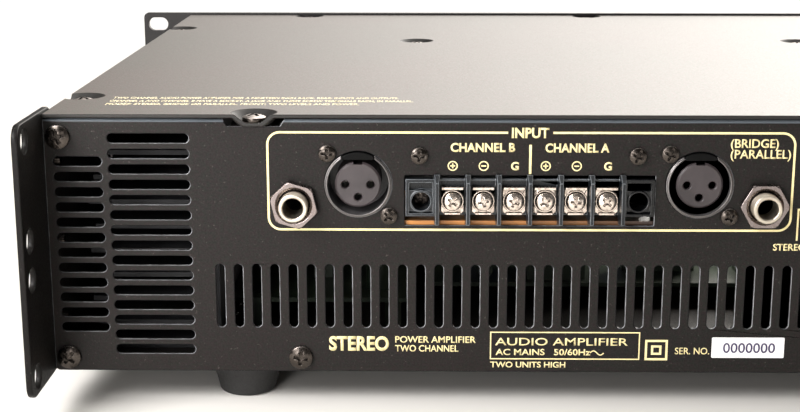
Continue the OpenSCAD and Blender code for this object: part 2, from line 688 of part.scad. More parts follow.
module post_studs() color([0.80, 0.66, 0.36]) rear_frame() for (p = posts) translate([p[0], p[1], 0]) {
    difference() {
        translate([0, 0, -16]) cylinder(h = 16 + post_stud_top, r = 3);
        translate([0, 0, post_stud_top - post_bore_l]) cylinder(h = 40, r = post_bore_r);
        // cross hole for a bare wire
        translate([0, 0, post_base_h + 1.4]) rotate([90, 0, 0]) cylinder(h = 20, r = 1, center = true);
    }
    translate([0, 0, -sheet - 3.1 - 2.6]) difference() {
        cylinder(h = 2.6, r = 10 / sqrt(3), $fn = 6);
        translate([0, 0, -1]) cylinder(h = 5, r = 3.05);
    }
}

module post_cap(i, colour) color(colour) rear_frame()
    translate([posts[i][0], posts[i][1], post_base_h + 0.3]) difference() {
    union() {
        cylinder(h = post_cap_l - 1, r = post_cap_r);
        translate([0, 0, post_cap_l - 1 - eps]) cylinder(h = 1 + eps, r1 = post_cap_r, r2 = post_cap_r - 1);
        cylinder(h = 2, r = post_cap_r + 0.6);
    }
    translate([0, 0, -1]) cylinder(h = 40, r = 3.1);
    for (a = [0:20:340]) rotate(a) translate([post_cap_r + 0.35, 0, 3]) cylinder(h = 20, r = 0.9, $fn = 24);
}
module post_cap_b_plus() post_cap(1, [0.65, 0.05, 0.05]);
module post_cap_b_minus() post_cap(0, [0.06, 0.06, 0.06]);
module post_cap_a_plus() post_cap(3, [0.65, 0.05, 0.05]);
module post_cap_a_minus() post_cap(2, [0.06, 0.06, 0.06]);

module mains_inlet() color([0.06, 0.06, 0.06]) rear_frame() translate([inlet_u, inlet_v, 0]) difference() {
    union() {
        translate([0, 0, 0.02]) linear_extrude(2.48) rounded2d(50, 23, 3);
        box([-13.9, -10.2, -20], [13.9, 10.2, 1]);
        translate([0, 0, 1]) linear_extrude(2.6) rounded2d(29, 21, 2);
    }
    translate([0, 0, -16]) linear_extrude(40) difference() {
        square([24.6, 16.6], center = true);
        for (s = [-1, 1]) translate([s * 12.3, 8.3]) rotate(45) square(5.2, center = true);
    }
    for (s = [-1, 1]) translate([s * inlet_screw_span / 2, 0, -5]) cylinder(h = 20, r = m3_hole);
    for (p = [[-7, -1.5], [7, -1.5], [0, 2.6]]) translate([p[0], p[1], -30]) linear_extrude(20)
        square([2.1, 4.1], center = true);
}

module mains_inlet_pins() color([0.75, 0.75, 0.72]) rear_frame() translate([inlet_u, inlet_v, 0])
    for (p = [[-7, -1.5], [7, -1.5], [0, 2.6]]) translate([p[0], p[1], -27]) linear_extrude(27 - 2.5)
        square([2, 4], center = true);

// ---- inside ----

module toroidal_transformer() color([0.86, 0.62, 0.18])
    translate([0, transformer_y, transformer_bottom + 0.05]) rotate_extrude($fn = 96) polygon(concat(
    [for (a = [180:15:270]) [30 + 8 * cos(a), 8 + 8 * sin(a)]],
    [for (a = [270:15:360]) [50 + 8 * cos(a), 8 + 8 * sin(a)]],
    [for (a = [0:15:90]) [50 + 8 * cos(a), 46 + 8 * sin(a)]],
    [for (a = [90:15:180]) [30 + 8 * cos(a), 46 + 8 * sin(a)]]
));

// Rubber discs, dished washer and the bolt through the middle of the transformer
module transformer_clamp() translate([0, transformer_y, 0]) {
    color([0.08, 0.08, 0.08]) for (z = [transformer_bottom - 2.95, transformer_bottom + 54.2])
        translate([0, 0, z]) difference() {
        cylinder(h = 2.9, r = 44);
        translate([0, 0, -1]) cylinder(h = 10, r = 4.2);
    }
    color([0.7, 0.7, 0.68]) {
        translate([0, 0, transformer_bottom + 57.2]) difference() {
            cylinder(h = 1.6, r = 38);
            translate([0, 0, -1]) cylinder(h = 10, r = 4.2);
        }
        translate([0, 0, transformer_bottom + 58.9]) cylinder(h = 5, r = 13 / sqrt(3), $fn = 6);
        translate([0, 0, case_bottom - 2]) cylinder(h = transformer_bottom + 59 - case_bottom + 2, r = 4);
        translate([0, 0, case_bottom - 4.02]) cylinder(h = 4, r = 13 / sqrt(3), $fn = 6);
    }
}

module power_supply_board() {
    color([0.12, 0.32, 0.16]) difference() {
        box([-88, supply_y - 40, supply_top - 1.6], [88, supply_y + 44, supply_top]);
        for (x = [-82, 82], y = [supply_y - 34, supply_y + 38]) translate([x, y, supply_top])
            cylinder(h = 10, r = 1.7, center = true);
    }
    color([0.8, 0.78, 0.7]) for (x = [-82, 82], y = [supply_y - 34, supply_y + 38])
        translate([x, y, case_bottom + sheet])
        cylinder(h = supply_top - 1.6 - case_bottom - sheet, r = 3, $fn = 6);
    // bridge rectifier, two relays and the fuses
    color([0.10, 0.10, 0.11])
        box([-14, supply_y + 22, supply_top + 0.02], [14, supply_y + 27, supply_top + 26]);
    color([0.14, 0.16, 0.24]) for (s = [-1, 1])
        box([s * 30, supply_y + 22, supply_top + 0.02], [s * 52, supply_y + 40, supply_top + 18]);
    color([0.9, 0.9, 0.88]) for (s = [-1, 1]) translate([s * 68, supply_y + 22, supply_top + 4])
        rotate([-90, 0, 0]) cylinder(h = 20, r = 2.6);
}

module filter_capacitors() color([0.09, 0.12, 0.22]) for (x = [-66, -24, 24, 66])
    translate([x, supply_y - 14, supply_top + 0.05]) difference() {
    cylinder(h = 52, r = 17.5);
    translate([0, 0, 51.4]) cylinder(h = 5, r = 15.8);
}

module heat_sinks() color([0.55, 0.55, 0.57]) for (m = [0, 1]) mirror([m, 0, 0]) translate([0, 292, 0])
    rotate([90, 0, 0]) linear_extrude(250) {
    translate([sink_x, sink_bottom]) square([5, sink_h]);
    for (i = [0:9]) translate([sink_x + 4.9, sink_bottom + i * (sink_h - 1.6) / 9])
        square([i % 2 == 0 ? 39 : 37, 1.6]);
}

module output_transistors() color([0.09, 0.09, 0.10]) for (s = [-1, 1], y = device_y)
    translate([s * (sink_x - 0.1), y, 0]) {
    box([0, -8, -16], [-s * 5, 8, 5]);
    for (y1 = [-5.45, 0, 5.45]) box([-s * 1.6, y1 - 0.6, -30.55], [-s * 2.2, y1 + 0.6, -15.9]);
}

module amplifier_boards() {
    color([0.12, 0.32, 0.16]) for (s = [-1, 1]) difference() {
        box([s * 98, 45, -32.2], [s * 161.5, 272, -30.6]);
        for (x = [103, 152], y = [52, 265]) translate([s * x, y, -31])
            cylinder(h = 10, r = 1.7, center = true);
    }
    color([0.8, 0.78, 0.7]) for (s = [-1, 1], x = [103, 152], y = [52, 265])
        translate([s * x, y, case_bottom + sheet])
        cylinder(h = -32.2 - case_bottom - sheet, r = 3, $fn = 6);
    // resistors, small capacitors and driver devices in rows
    color([0.85, 0.83, 0.76]) for (s = [-1, 1], y = device_y)
        box([s * 126, y - 10, -30.58], [s * 133, y + 10, -24]);
    color([0.09, 0.10, 0.16]) for (s = [-1, 1], y = [60:22:260]) translate([s * 108, y, -30.58])
        cylinder(h = 13, r = 5);
    color([0.10, 0.10, 0.11]) for (s = [-1, 1], y = [76:34:250])
        box([s * 116, y - 4, -30.58], [s * 119, y + 4, -14]);
}

module front_board() color([0.12, 0.32, 0.16]) {
    difference() {
        box([-10, 14, -24], [172, 15.6, 24]);
        for (x = knob_x) translate([x, 10, 0]) rotate([-90, 0, 0]) cylinder(h = 10, r = 5);
    }
    box([18 - power_x, 14, -8], [34 - power_x, 15.6, 8]);
}

module level_pots() {
    for (x = knob_x) translate([x, 0, 0]) {
        color([0.72, 0.72, 0.70]) difference() {
            union() {
                translate([0, 13.9, 0]) rotate([90, 0, 0]) cylinder(h = 13.9 - sheet - 0.1, r = 11.5);
                translate([0, sheet + 1, 0]) rotate([90, 0, 0])
                    cylinder(h = sheet + 1 + panel_t + 4, r = pot_bush_r);
            }
            translate([0, 12, 0]) rotate([90, 0, 0]) cylinder(h = 40, r = shaft_r + 0.05);
        }
        // nut on the front face, hidden inside the knob
        color([0.78, 0.76, 0.72]) difference() {
            front_frame() translate([0, 0, 0.02]) cylinder(h = 2.4, r = 10 / sqrt(3), $fn = 6);
            rotate([90, 0, 0]) cylinder(h = 60, r = pot_bush_r + 0.05, center = true);
        }
    }
}

// Knob with its shaft; the pointer groove stands upright at rest
module level_knob(x) {
    color([0.08, 0.08, 0.09]) front_frame() translate([x, 0, 1]) difference() {
        union() {
            cylinder(h = 3, r = knob_r);
            cylinder(h = 20, r1 = knob_r - 1.2, r2 = knob_r - 2.4);
            translate([0, 0, 20 - eps]) cylinder(h = 1 + eps, r1 = knob_r - 2.4, r2 = knob_r - 3.4);
        }
        translate([0, 0, -1]) cylinder(h = 12, r = knob_r - 5);
        translate([0, 0, -1]) cylinder(h = 18, r = shaft_r + 0.02);
        for (a = [0:15:345]) rotate(a + 7.5) translate([knob_r - 0.7, 0, 4]) rotate([0, -3.4, 0])
            cylinder(h = 30, r = 1.1, $fn = 24);
        translate([0, knob_r - 8, 21]) cube([1.4, 12, 1.6], center = true);
    }
    color([0.75, 0.75, 0.74]) front_frame() translate([x, 0, -panel_t - 11])
        cylinder(h = panel_t + 11 + 17.5, r = shaft_r);
}
module level_knob_a() level_knob(knob_x[0]);
module level_knob_b() level_knob(knob_x[1]);

module led_lenses() front_frame() for (i = [0:len(leds) - 1]) {
    green = [0.1, 0.7, 0.2];
    level_tints = [[0.85, 0.55, 0.1], green, [0.8, 0.1, 0.1]];
    tint = i == len(leds) - 1 ? green : level_tints[i % 3];
    color(tint) translate([leds[i][0], leds[i][1], 0]) {
        translate([0, 0, -panel_t - 13.9]) cylinder(h = panel_t + 13.9, r = led_r);
        intersection() {
            translate([0, 0, -1]) cylinder(h = 5, r = led_r);
            translate([0, 0, -0.7]) sphere(led_r + 0.2);
        }
    }
}

module power_switch_body() color([0.07, 0.07, 0.07]) front_frame() translate([-power_x, 0, 0]) difference() {
    union() {
        translate([0, 0, 0.02]) linear_extrude(1.9) rounded2d(15.4, 21.4, 1.2);
        box([-6.6, -9.7, -22], [6.6, 9.7, 1]);
    }
    box([-5.2, -8.2, -12], [5.2, 8.2, 5]);
    // bores for the rocker's pivot stubs
    translate([0, 0, -2.5]) rotate([0, 90, 0]) cylinder(h = 12.4, r = 1.05, center = true);
}

// The rocker turns on two stubs
module power_rocker() color([0.10, 0.10, 0.10]) front_frame() translate([-power_x, 0, -2.5]) {
    rotate([rocker_tilt, 0, 0]) difference() {
        translate([-5, 0, 0]) rotate([90, 0, 90]) linear_extrude(10) polygon([
            [-7.4, 1.2], [-7.4, 4], [0, 4.9], [7.4, 4], [7.4, 1.2], [3, -4], [-3, -4]
        ]);
        for (s = [-1, 1]) translate([0, s * 5, 5.2]) cube([4, 0.5, 1.6], center = true);
    }
    rotate([0, 90, 0]) cylinder(h = 12, r = 1, center = true);
}

// Mains leads from the inlet to the power switch, transformer leads, and speaker leads to the posts
module wiring_harness() {
    color([0.30, 0.18, 0.10]) for (i = [0, 1])
        translate([-inlet_u + 7 - 14 * i, case_d - 27.1, inlet_v - 1.5]) rotate([90, 0, 0])
        cable(1.6, 5, [[245, 180], [power_x - inlet_u + 7 - 14 * i - 10 + 6 * i - 3, 90], [4, 90], [6, 0]]);
    color([0.65, 0.08, 0.08]) for (x = [-12, -4, 4, 12]) translate([x, 146.5, -20]) rotate([-90, 0, 0])
        cable(1.5, 5, [[9, 90], [8.8, 0]]);
    color([0.08, 0.08, 0.08]) for (p = posts) translate([-p[0], case_d - 16.1, p[1]]) rotate([90, 0, 0])
        cable(1.5, 5, [[6 + (p[0] > post_mid_u ? 8 : 0), -90], [p[1] + 15, 0]]);
}

chassis_tray();
top_cover();
rear_panel();
front_panel();
front_subpanel();
cross_brace();
rear_bracket_left();
rear_bracket_right();
case_screws();
rubber_feet();
xlr_shells();
xlr_inserts();
xlr_contacts();
xlr_latch_a();
xlr_latch_b();
connector_screws();
jack_bodies();
jack_bushes();
jack_nuts();
terminal_block();
terminal_contacts();
terminal_screw_1();
terminal_screw_2();
terminal_screw_3();
terminal_screw_4();
terminal_screw_5();
terminal_screw_6();
clamp_plate_1();
clamp_plate_2();
clamp_plate_3();
clamp_plate_4();
clamp_plate_5();
clamp_plate_6();
input_board();
input_bracket();
mode_switch_body();
mode_switch_slider();
post_bases();
post_studs();
post_cap_a_plus();
post_cap_a_minus();
post_cap_b_plus();
post_cap_b_minus();
mains_inlet();
mains_inlet_pins();
toroidal_transformer();
transformer_clamp();
filter_capacitors();
power_supply_board();
heat_sinks();
output_transistors();
amplifier_boards();
front_board();
level_pots();
level_knob_a();
level_knob_b();
led_lenses();
power_switch_body();
power_rocker();
wiring_harness();
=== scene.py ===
import math

import bmesh
import bpy
from mathutils import Matrix, Vector


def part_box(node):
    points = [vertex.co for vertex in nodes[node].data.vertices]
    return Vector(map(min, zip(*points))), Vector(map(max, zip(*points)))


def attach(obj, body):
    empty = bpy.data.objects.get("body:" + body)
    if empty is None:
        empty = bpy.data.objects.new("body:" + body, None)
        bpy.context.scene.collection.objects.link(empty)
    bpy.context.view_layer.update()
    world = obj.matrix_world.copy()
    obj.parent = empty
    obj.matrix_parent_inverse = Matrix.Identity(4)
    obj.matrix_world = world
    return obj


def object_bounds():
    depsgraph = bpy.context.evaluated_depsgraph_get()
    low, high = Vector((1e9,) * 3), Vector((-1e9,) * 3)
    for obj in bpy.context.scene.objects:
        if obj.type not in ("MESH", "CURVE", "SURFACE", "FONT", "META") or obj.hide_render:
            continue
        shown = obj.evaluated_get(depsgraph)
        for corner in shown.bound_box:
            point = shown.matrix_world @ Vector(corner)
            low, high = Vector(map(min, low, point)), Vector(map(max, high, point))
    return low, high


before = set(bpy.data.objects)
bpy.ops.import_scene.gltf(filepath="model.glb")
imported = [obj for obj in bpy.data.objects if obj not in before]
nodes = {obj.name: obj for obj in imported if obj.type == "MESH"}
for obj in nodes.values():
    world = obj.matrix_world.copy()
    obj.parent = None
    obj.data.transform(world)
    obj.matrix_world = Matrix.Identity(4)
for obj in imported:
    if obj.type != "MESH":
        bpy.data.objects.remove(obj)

MM = 0.001
cad_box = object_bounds()
scene = bpy.context.scene

# Planes of the case that the printing and the decals lie on
REAR_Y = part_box("rear_panel")[1].y
FRONT_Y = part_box("front_panel")[0].y
TOP_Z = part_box("top_cover")[1].z
PRINT_T = 0.03 * MM
CAP_HEIGHT = 0.729  # height of a capital in Blender's own font, for a size of 1
PAINT_GRAIN = 0.6 * MM


# ---------- material building blocks ----------

def new_material(name):
    mat = bpy.data.materials.new(name)
    mat.use_nodes = True
    tree = mat.node_tree
    tree.nodes.clear()
    out = tree.nodes.new("ShaderNodeOutputMaterial")
    shader = tree.nodes.new("ShaderNodeBsdfPrincipled")
    tree.links.new(shader.outputs[0], out.inputs[0])
    return mat, tree, shader


def coords(tree):
    return tree.nodes.new("ShaderNodeTexCoord").outputs["Object"]


def stretched(tree, source, scale):
    node = tree.nodes.new("ShaderNodeMapping")
    node.inputs["Scale"].default_value = scale
    tree.links.new(source, node.inputs["Vector"])
    return node.outputs[0]


def noise(tree, source, scale, detail=4.0, rough=0.55):
    node = tree.nodes.new("ShaderNodeTexNoise")
    node.inputs["Scale"].default_value = scale
    node.inputs["Detail"].default_value = detail
    node.inputs["Roughness"].default_value = rough
    tree.links.new(source, node.inputs["Vector"])
    return node.outputs["Fac"]


def ramp(tree, source, low, high, start=0.3, end=0.7):
    """A value between low and high, as source goes from start to end."""
    node = tree.nodes.new("ShaderNodeMapRange")
    node.inputs["From Min"].default_value = start
    node.inputs["From Max"].default_value = end
    node.inputs["To Min"].default_value = low
    node.inputs["To Max"].default_value = high
    tree.links.new(source, node.inputs["Value"])
    return node.outputs["Result"]


def mix(tree, factor, a, b):
    """Colour a where factor is 0 and b where it is 1; each is a colour or a socket."""
    node = tree.nodes.new("ShaderNodeMix")
    node.data_type = "RGBA"
    for value, socket in ((factor, node.inputs[0]), (a, node.inputs[6]), (b, node.inputs[7])):
        if isinstance(value, (tuple, list)):
            socket.default_value = (*value[:3], 1)
        elif isinstance(value, float):
            socket.default_value = value
        else:
            tree.links.new(value, socket)
    return node.outputs[2]


def maths(tree, operation, a, b=0.0):
    node = tree.nodes.new("ShaderNodeMath")
    node.operation = operation
    for value, socket in ((a, node.inputs[0]), (b, node.inputs[1])):
        if isinstance(value, (int, float)):
            socket.default_value = value
        else:
            tree.links.new(value, socket)
    return node.outputs[0]


def bump(tree, shader, height, distance, strength=1.0):
    node = tree.nodes.new("ShaderNodeBump")
    node.inputs["Strength"].default_value = strength
    node.inputs["Distance"].default_value = distance
    tree.links.new(height, node.inputs["Height"])
    tree.links.new(node.outputs[0], shader.inputs["Normal"])


def hollow_mask(tree, reach):
    """Mask for painted shade: 1 deep in corners and recesses, 0 on open faces."""
    node = tree.nodes.new("ShaderNodeAmbientOcclusion")
    node.samples = 4
    node.inputs["Distance"].default_value = reach
    return ramp(tree, node.outputs["AO"], 1.0, 0.0, 0.35, 0.8)


def edge_mask(tree, radius, sharpness=6.0):
    """1 on edges within radius, 0 on flat faces."""
    bevel = tree.nodes.new("ShaderNodeBevel")
    bevel.samples = 4
    bevel.inputs["Radius"].default_value = radius
    geometry = tree.nodes.new("ShaderNodeNewGeometry")
    dot = tree.nodes.new("ShaderNodeVectorMath")
    dot.operation = "DOT_PRODUCT"
    tree.links.new(bevel.outputs[0], dot.inputs[0])
    tree.links.new(geometry.outputs["True Normal"], dot.inputs[1])
    fall = maths(tree, "SUBTRACT", 1.0, dot.outputs["Value"])
    fall = maths(tree, "MULTIPLY", fall, sharpness)
    return maths(tree, "MINIMUM", fall, 1.0)


def facing(tree, direction, start, end):
    """1 on faces that look in a direction, 0 on faces that look elsewhere."""
    dot = tree.nodes.new("ShaderNodeVectorMath")
    dot.operation = "DOT_PRODUCT"
    dot.inputs[1].default_value = Vector(direction).normalized()
    tree.links.new(tree.nodes.new("ShaderNodeNewGeometry").outputs["Normal"], dot.inputs[0])
    return ramp(tree, dot.outputs["Value"], 0.0, 1.0, start, end)


def powder_coat(name, colour, rough=0.42, specular=0.5, depth=0.05 * MM, steep_shade=None, bend_highlight=None):
    """Textured stoving paint: pebbled grain, green and brown mottling and dust specks.

    steep, if given, is painted shade: the darker colour and the lower specular level of the faces that do
    not look up. bend, if given,
    is a painted highlight: the lighter colour where an upright face turns into a level one.
    """
    mat, tree, shader = new_material(name)
    at = coords(tree)
    pebble = noise(tree, at, 1 / PAINT_GRAIN, 3.0, 0.6)
    fine = noise(tree, at, 3.2 / PAINT_GRAIN, 2.0, 0.5)
    hue = noise(tree, stretched(tree, at, (1.0, 1.0, 1.3)), 0.45 / PAINT_GRAIN, 4.0, 0.65)
    drift = noise(tree, at, 14.0, 3.0, 0.5)
    speck = ramp(tree, noise(tree, at, 900.0, 2.0, 0.7), 0.0, 1.0, 0.66, 0.76)
    dark = tuple(c * 0.45 for c in colour)
    light = tuple(c * 1.75 for c in colour)
    base = mix(tree, ramp(tree, pebble, 0.0, 1.0, 0.38, 0.62), dark, light)
    brown = (colour[0] * 1.6, colour[1] * 0.98, colour[2] * 1.05)
    green = (colour[0] * 0.72, colour[1] * 1.22, colour[2] * 0.80)
    tint = mix(tree, ramp(tree, hue, 0.0, 1.0, 0.42, 0.58), green, brown)
    base = mix(tree, 0.45, base, tint)
    base = mix(tree, ramp(tree, drift, 0.0, 0.3), base, brown)
    base = mix(tree, maths(tree, "MULTIPLY", speck, 0.14), base, (0.33, 0.30, 0.27))
    shader.inputs["Specular IOR Level"].default_value = specular
    # painted shade: faces that do not look up get a darker colour and a lower specular level
    if steep_shade:
        up = facing(tree, (0, 0, 1), 0.80, 0.97)
        base = mix(tree, up, steep_shade[0], base)
        level = ramp(tree, up, steep_shade[1], specular, 0.0, 1.0)
        tree.links.new(level, shader.inputs["Specular IOR Level"])
    # painted highlight: a lighter colour where the upright face turns into the level one
    if bend_highlight:
        base = mix(tree, facing(tree, (0, 0.78, 0.62), 0.90, 0.97), base, bend_highlight)
    tree.links.new(base, shader.inputs["Base Color"])
    tree.links.new(ramp(tree, pebble, rough - 0.07, rough + 0.09), shader.inputs["Roughness"])
    bump(tree, shader, maths(tree, "ADD", pebble, maths(tree, "MULTIPLY", fine, 0.4)), depth)
    return mat


def rubbed_edge(name, dark, bright):
    """Edge of a painted sheet: dark, with a painted highlight in patches where it looks up and towards
    channel B's side.
    """
    mat, tree, shader = new_material(name)
    at = coords(tree)
    patchiness = ramp(tree, noise(tree, at, 300.0, 4.0, 0.6), 0.35, 1.0)
    # painted highlight: the edge takes the bright colour where it faces up or towards channel B's side
    side = facing(tree, (1, 0.35, 0.25), 0.35, 0.75)
    above = facing(tree, (0, 0.6, 1), 0.75, 0.95)
    lit = maths(tree, "MULTIPLY", maths(tree, "MAXIMUM", side, above), patchiness)
    tree.links.new(mix(tree, lit, dark, bright), shader.inputs["Base Color"])
    shader.inputs["Roughness"].default_value = 0.25
    tree.links.new(ramp(tree, lit, 0.1, 1.0, 0.0, 1.0), shader.inputs["Specular IOR Level"])
    bump(tree, shader, noise(tree, at, 2500.0, 3.0, 0.6), 0.01 * MM)
    return mat


def metal(name, colour, rough=0.28, stain=(0.25, 0.2, 0.15), dirt=0.25, patch=420.0, hollow_shade=0.0, top=None):
    """Plated metal: fine scratches, uneven gloss and stains.

    hollow is how dark the painted shade in its corners and recesses is, and top, if given, is a painted
    highlight: the lighter colour of faces that look up.
    """
    mat, tree, shader = new_material(name)
    at = coords(tree)
    cloud = noise(tree, at, patch, 5.0, 0.6)
    lines = noise(tree, stretched(tree, at, (1.0, 0.25, 1.0)), 5200.0, 3.0, 0.6)
    tint = mix(tree, ramp(tree, cloud, 0.0, dirt, 0.45, 0.75), colour, stain)
    # painted highlight: faces that look up take the lighter top colour
    if top:
        tint = mix(tree, facing(tree, (0, 0, 1), 0.45, 0.8), tint, top)
    # painted shade: corners and recesses darkened to near black
    depth = maths(tree, "MULTIPLY", hollow_mask(tree, 1.0 * MM), hollow_shade)
    tint = mix(tree, depth, tint, (0.012, 0.010, 0.009))
    tree.links.new(tint, shader.inputs["Base Color"])
    shader.inputs["Metallic"].default_value = 1.0
    gloss = ramp(tree, cloud, rough - 0.08, rough + 0.14)
    gloss = maths(tree, "ADD", gloss, ramp(tree, lines, 0.0, 0.075))
    tree.links.new(gloss, shader.inputs["Roughness"])
    bump(tree, shader, maths(tree, "ADD", lines, cloud), 0.012 * MM, 0.7)
    return mat


def plastic(name, colour, rough=0.45, grain=0.5 * MM, depth=0.02 * MM, tone=0.3, edge=0.12, specular=0.5,
            fade=None):
    """Moulded plastic: fine mould texture, tone drift and slightly rubbed edges.

    fade, if given, is painted shade: a darker colour and the places on X from which it starts and where it
    is full.
    """
    mat, tree, shader = new_material(name)
    at = coords(tree)
    texture = noise(tree, at, 1 / grain, 4.0, 0.6)
    drift = noise(tree, at, 120.0, 3.0, 0.5)
    dark = tuple(c * (1 - tone) for c in colour)
    light = tuple(min(1.0, c * (1 + tone)) for c in colour)
    base = mix(tree, ramp(tree, drift, 0.0, 1.0), dark, light)
    if edge:
        rubbed = tuple(min(1.0, c * 1.6 + 0.08) for c in colour)
        base = mix(tree, maths(tree, "MULTIPLY", edge_mask(tree, 0.3 * MM), edge), base, rubbed)
    # painted shade: the colour darkens towards one end along X
    if fade:
        split = tree.nodes.new("ShaderNodeSeparateXYZ")
        tree.links.new(at, split.inputs[0])
        base = mix(tree, ramp(tree, split.outputs["X"], 0.0, 1.0, fade[1], fade[2]), base, fade[0])
    tree.links.new(base, shader.inputs["Base Color"])
    tree.links.new(ramp(tree, texture, rough - 0.08, rough + 0.1), shader.inputs["Roughness"])
    shader.inputs["Specular IOR Level"].default_value = specular
    bump(tree, shader, texture, depth)
    return mat


def socket_metal(name):
    """Black socket shell, its rounded rims painted light: worn plating with a painted highlight on it."""
    mat, tree, shader = new_material(name)
    at = coords(tree)
    grain = noise(tree, at, 2600.0, 3.0, 0.6)
    patchiness = ramp(tree, noise(tree, at, 240.0, 4.0, 0.6), 0.25, 1.0, 0.35, 0.65)
    # painted highlight on the rounded rims, together with worn plating
    rim = maths(tree, "MULTIPLY", edge_mask(tree, 0.35 * MM, 9.0), patchiness)
    black = mix(tree, ramp(tree, grain, 0.0, 1.0), (0.022, 0.022, 0.0225), (0.042, 0.040, 0.042))
    tree.links.new(mix(tree, rim, black, (0.26, 0.25, 0.25)), shader.inputs["Base Color"])
    tree.links.new(ramp(tree, grain, 0.30, 0.42), shader.inputs["Roughness"])
    bump(tree, shader, grain, 0.01 * MM)
    return mat


def print_ink(name, colour):
    """Screen-printed ink: slightly uneven, matt, with pinholes."""
    mat, tree, shader = new_material(name)
    at = coords(tree)
    patch = noise(tree, at, 700.0, 3.0, 0.6)
    worn = tuple(c * 0.72 for c in colour)
    base = mix(tree, ramp(tree, patch, 0.0, 0.6, 0.35, 0.75), colour, worn)
    tree.links.new(base, shader.inputs["Base Color"])
    tree.links.new(ramp(tree, patch, 0.45, 0.65), shader.inputs["Roughness"])
    bump(tree, shader, patch, 0.01 * MM)
    return mat


def lens(name):
    """Tinted lenses, each coloured by its height: red over green over amber, and green alone."""
    mat, tree, shader = new_material(name)
    at = coords(tree)
    split = tree.nodes.new("ShaderNodeSeparateXYZ")
    tree.links.new(at, split.inputs[0])
    top = maths(tree, "GREATER_THAN", split.outputs["Z"], 7 * MM)
    low = maths(tree, "LESS_THAN", split.outputs["Z"], -7 * MM)
    base = mix(tree, top, (0.05, 0.30, 0.06), (0.45, 0.02, 0.02))
    base = mix(tree, low, base, (0.50, 0.20, 0.02))
    base = mix(tree, ramp(tree, noise(tree, at, 900.0), 0.0, 0.25), base, (0.8, 0.8, 0.75))
    tree.links.new(base, shader.inputs["Base Color"])
    shader.inputs["Roughness"].default_value = 0.15
    shader.inputs["Coat Weight"].default_value = 0.5
    return mat


